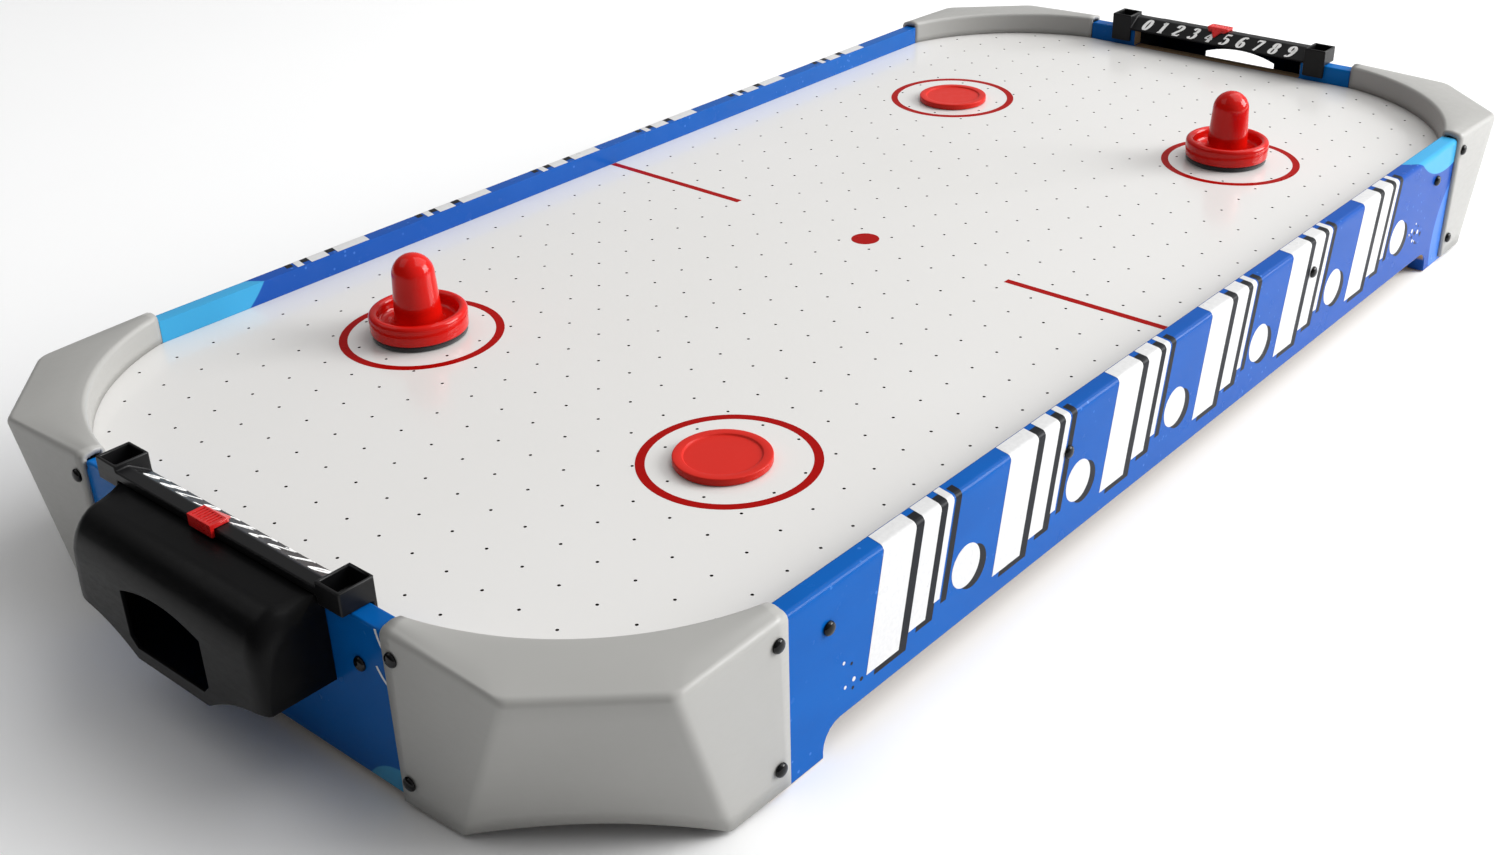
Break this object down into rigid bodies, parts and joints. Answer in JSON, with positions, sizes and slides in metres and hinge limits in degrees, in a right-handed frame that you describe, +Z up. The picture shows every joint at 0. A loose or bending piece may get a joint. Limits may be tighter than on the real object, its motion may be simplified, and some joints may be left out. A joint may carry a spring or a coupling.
{
  "type": "air hockey table",
  "caption": "Tabletop air hockey table with perforated playfield, film-wrapped aprons, plastic corners, goal boxes, sliding score bars, pushers, pucks and a blower.",
  "frame": {"origin": "on the ground under the middle of the playfield", "axes": "+X along the table's length, towards the right end; +Y across it, towards the back apron with the switch; +Z up"},
  "size_m": [1.0926, 0.5142, 0.135],
  "materials": {
    "playfield": "semi-gloss white laminate with printed dark red markings",
    "fibreboard": "raw medium density fibreboard",
    "hardboard": "smooth brown hardboard",
    "apron_film": "printed semi-gloss blue film over fibreboard",
    "corner_plastic": "satin warm grey moulded plastic",
    "black_plastic": "satin black moulded plastic",
    "red_plastic": "glossy red moulded plastic",
    "puck_plastic": "satin red moulded plastic",
    "felt": "black pressed felt",
    "motor_metal": "plated steel motor can",
    "lead_rubber": "black lead insulation",
    "screw_black": "glossy black domed screw cap"
  },
  "bodies": {
    "table": {"playfield": "playfield", "batten_front": "fibreboard", "batten_back": "fibreboard", "batten_left": "fibreboard", "batten_right": "fibreboard", "cross_batten_left": "fibreboard", "cross_batten_right": "fibreboard", "base_panel": "hardboard", "apron_front": "apron_film", "apron_back": "apron_film", "apron_left": "apron_film", "apron_right": "apron_film", "corner_left_front": "corner_plastic", "corner_left_back": "corner_plastic", "corner_right_front": "corner_plastic", "corner_right_back": "corner_plastic", "goal_box_left": "black_plastic", "goal_box_right": "black_plastic", "score_frame_left": "black_plastic", "score_frame_right": "black_plastic", "fan_housing": "black_plastic", "fan_grille": "black_plastic", "switch_bezel": "black_plastic", "dc_inlet": "black_plastic", "fan_motor": "motor_metal", "supply_lead": "lead_rubber", "screw_side_left_front_top": "screw_black", "screw_side_left_front_low": "screw_black", "screw_side_left_back_top": "screw_black", "screw_side_left_back_low": "screw_black", "screw_side_right_front_top": "screw_black", "screw_side_right_front_low": "screw_black", "screw_side_right_back_top": "screw_black", "screw_side_right_back_low": "screw_black", "screw_end_left_front_top": "screw_black", "screw_end_left_front_low": "screw_black", "screw_end_left_back_top": "screw_black", "screw_end_left_back_low": "screw_black", "screw_end_right_front_top": "screw_black", "screw_end_right_front_low": "screw_black", "screw_end_right_back_top": "screw_black", "screw_end_right_back_low": "screw_black", "screw_apron_front_1": "screw_black", "screw_apron_front_2": "screw_black", "screw_apron_front_3": "screw_black", "screw_apron_front_4": "screw_black", "screw_apron_back_1": "screw_black", "screw_apron_back_2": "screw_black", "screw_apron_back_3": "screw_black", "screw_apron_back_4": "screw_black"},
    "slider_left": {"score_slider_left": "red_plastic"},
    "slider_right": {"score_slider_right": "red_plastic"},
    "pusher_left": {"pusher_left": "red_plastic", "pusher_felt_left": "felt"},
    "pusher_right": {"pusher_right": "red_plastic", "pusher_felt_right": "felt"},
    "puck_left": {"puck_left": "puck_plastic"},
    "puck_right": {"puck_right": "puck_plastic"},
    "impeller": {"impeller": "black_plastic"},
    "rocker": {"rocker_switch": "black_plastic"}
  },
  "joints": [
    {"name": "slider_left_slide", "type": "slide", "parent": "table", "child": "slider_left", "axis": [0, 1, 0], "range_m": [-0.0725, 0.0625]},
    {"name": "slider_right_slide", "type": "slide", "parent": "table", "child": "slider_right", "axis": [0, 1, 0], "range_m": [-0.0715, 0.0635]},
    {"name": "pusher_left_slide", "type": "slide", "parent": "table", "child": "pusher_left", "axis": [1, 0, 0], "range_m": [-0.17, 0.245]},
    {"name": "pusher_right_slide", "type": "slide", "parent": "table", "child": "pusher_right", "axis": [1, 0, 0], "range_m": [-0.247, 0.168]},
    {"name": "puck_left_slide", "type": "slide", "parent": "table", "child": "puck_left", "axis": [1, 0, 0], "range_m": [-0.178, 0.25]},
    {"name": "puck_right_slide", "type": "slide", "parent": "table", "child": "puck_right", "axis": [1, 0, 0], "range_m": [-0.242, 0.186]},
    {"name": "impeller_spin", "type": "hinge", "parent": "table", "child": "impeller", "pos_m": [0, 0, 0.036], "axis": [0, 0, 1], "continuous": true},
    {"name": "rocker_tilt", "type": "hinge", "parent": "table", "child": "rocker", "pos_m": [0.25, 0.2485, 0.038], "axis": [0, 0, 1], "range_deg": [-1, 9]}
  ]
}
